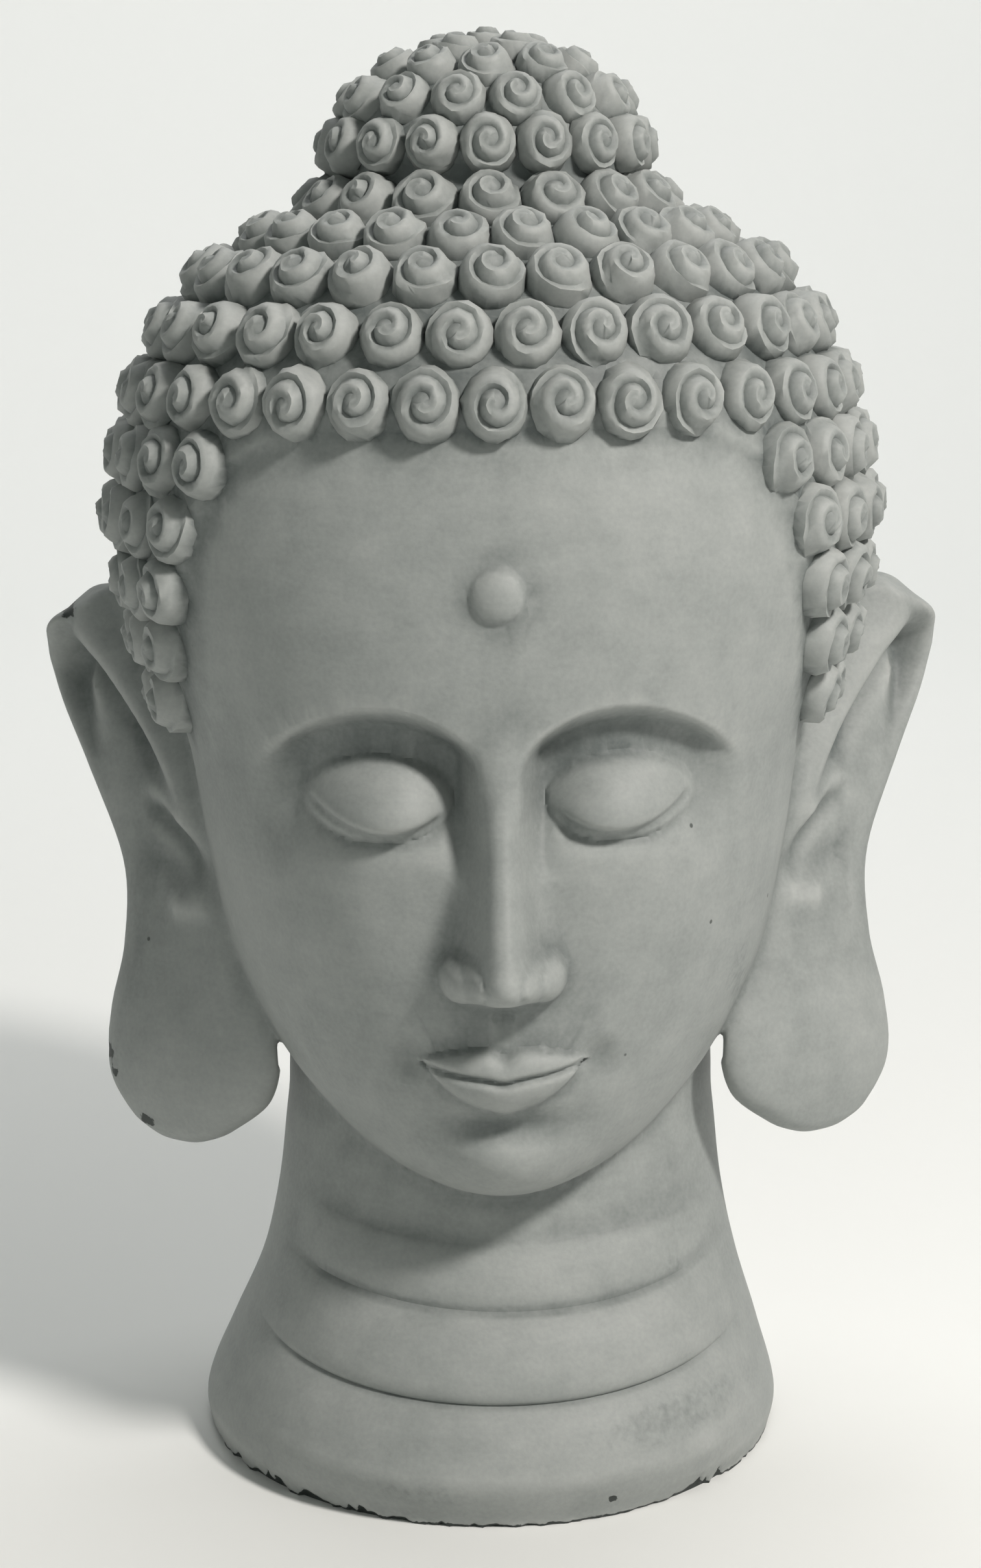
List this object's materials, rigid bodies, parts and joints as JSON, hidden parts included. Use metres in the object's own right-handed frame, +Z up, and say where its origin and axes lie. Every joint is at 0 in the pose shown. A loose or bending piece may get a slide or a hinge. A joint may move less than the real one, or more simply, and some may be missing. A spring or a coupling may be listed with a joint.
{
  "type": "garden buddha head",
  "caption": "Cast garden head of a buddha with snail curls, a topknot, long ears and lowered lids, on a folded neck that flares into a flat foot.",
  "frame": {"origin": "middle of the flat underside of the foot, on the ground", "axes": "+Z up, the face looks along -Y, +X is to the right of someone who looks at the face"},
  "size_m": [0.463, 0.4167, 0.7],
  "materials": {
    "cast_stone": "matt weathered grey-green paint over dark cast fibre stone, with chips along the foot and an ear"
  },
  "bodies": {
    "root": {"buddha_head": "cast_stone"}
  },
  "joints": []
}
